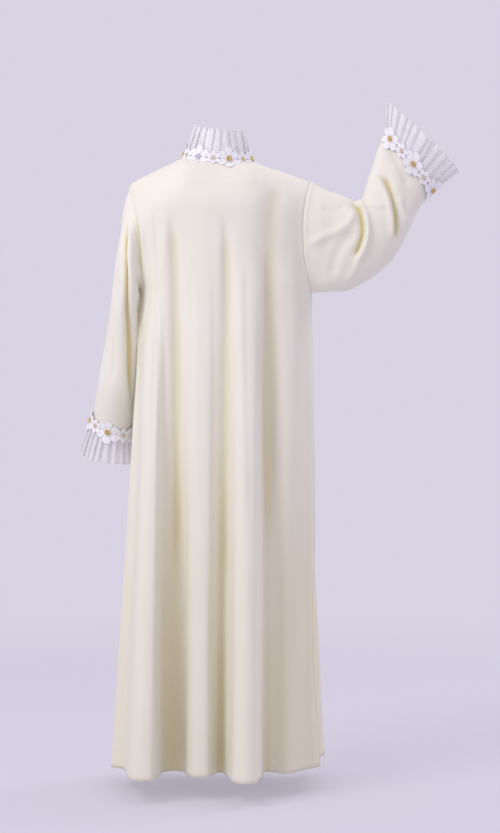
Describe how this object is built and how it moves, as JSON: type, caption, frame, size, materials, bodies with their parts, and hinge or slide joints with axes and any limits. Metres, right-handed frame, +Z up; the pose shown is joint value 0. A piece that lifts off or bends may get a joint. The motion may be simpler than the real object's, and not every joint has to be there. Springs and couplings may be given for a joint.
{
  "type": "abaya",
  "caption": "Full-length A-line abaya in its worn pose, one arm raised, with pleated organza frills and daisy trim at the neck and wrists.",
  "frame": {"origin": "centre of the base of the neck, where the shoulders of the wearer hold the garment", "axes": "+Z up, -Y out of the garment's front, +X towards the wearer's left"},
  "size_m": [0.8997, 0.4642, 1.5461],
  "materials": {
    "crepe": "matte butter cream crepe",
    "organza": "sheer crisp white organza",
    "lace": "white embroidered lace",
    "gold_bead": "polished gold bead",
    "clear_bead": "clear silver-lined bead"
  },
  "bodies": {
    "root": {"back": "crepe", "front_left": "crepe", "front_right": "crepe", "sleeve_left": "crepe", "sleeve_right": "crepe", "neck_facing": "crepe", "collar": "organza", "cuff_left": "organza", "cuff_right": "organza", "collar_trim": "lace", "cuff_trim_left": "lace", "cuff_trim_right": "lace"}
  },
  "joints": []
}
